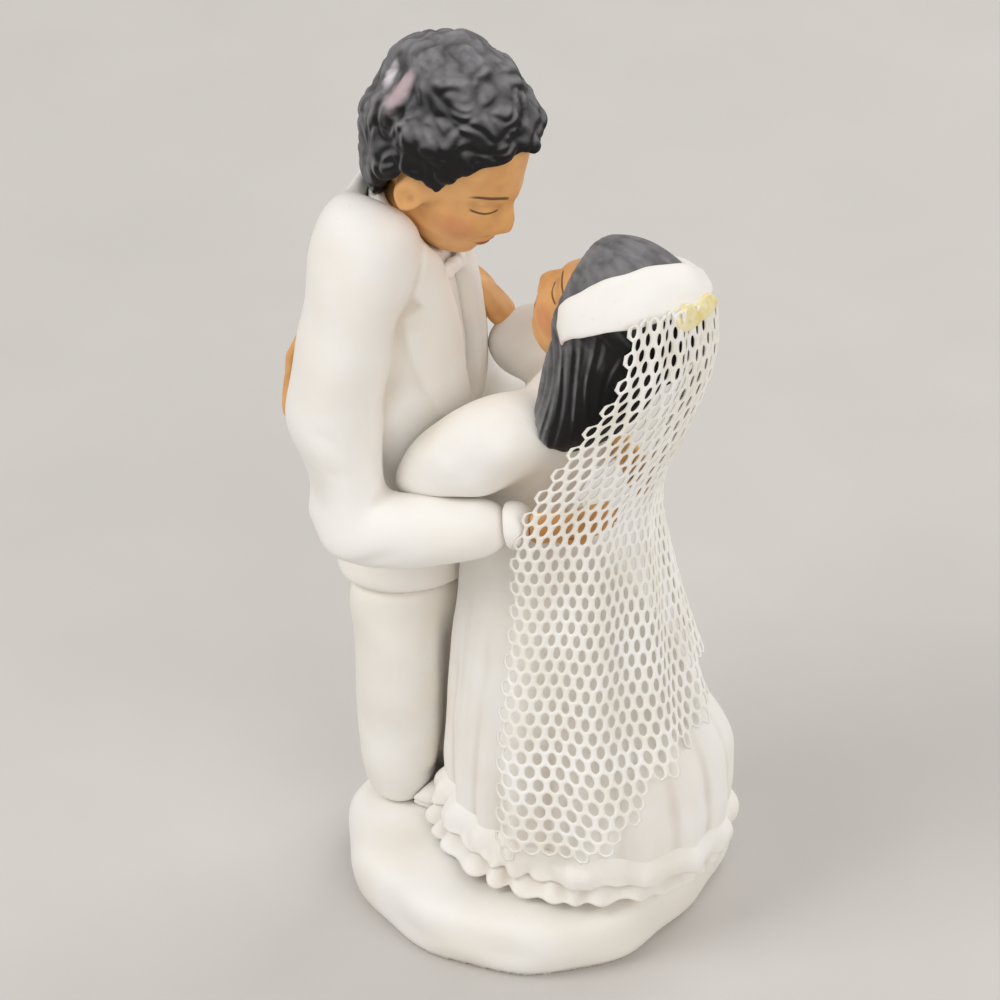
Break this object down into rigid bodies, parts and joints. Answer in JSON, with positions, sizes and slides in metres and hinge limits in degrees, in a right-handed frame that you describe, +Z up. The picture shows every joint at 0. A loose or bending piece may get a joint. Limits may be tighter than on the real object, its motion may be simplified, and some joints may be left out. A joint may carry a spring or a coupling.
{
  "type": "wedding cake topper",
  "caption": "Bisque figurine of a couple embracing on a round plinth, with a net veil on the bride, set on top of a wedding cake as its ornament.",
  "frame": {"origin": "middle of the plinth's flat underside, on the surface that the topper stands on", "axes": "+Z up, +X from the groom to the bride, +Y away from the side that the picture shows"},
  "size_m": [0.0578, 0.0532, 0.123],
  "materials": {
    "bisque": "matte white bisque",
    "skin": "satin painted bisque",
    "hair": "satin black paint",
    "glue": "yellowed clear glue",
    "net": "white hexagonal net"
  },
  "bodies": {
    "root": {"base_plinth": "bisque", "groom_trousers": "bisque", "groom_right_shoe": "bisque", "groom_left_shoe": "bisque", "bow_tie": "bisque", "shirt_collar": "bisque", "shirt_front": "bisque", "groom_jacket": "bisque", "bride_skirt": "bisque", "bride_bodice": "bisque", "groom_right_sleeve": "bisque", "groom_left_sleeve": "bisque", "bride_left_sleeve": "bisque", "bride_right_sleeve": "bisque", "groom_right_cuff": "bisque", "groom_left_cuff": "bisque", "headband": "bisque", "hem_flounce": "bisque", "groom_head": "skin", "bride_head": "skin", "groom_right_hand": "skin", "groom_left_hand": "skin", "bride_right_hand": "skin", "bride_left_hand": "skin", "groom_hair": "hair", "bride_hair": "hair", "veil_glue": "glue", "net_veil": "net"}
  },
  "joints": []
}
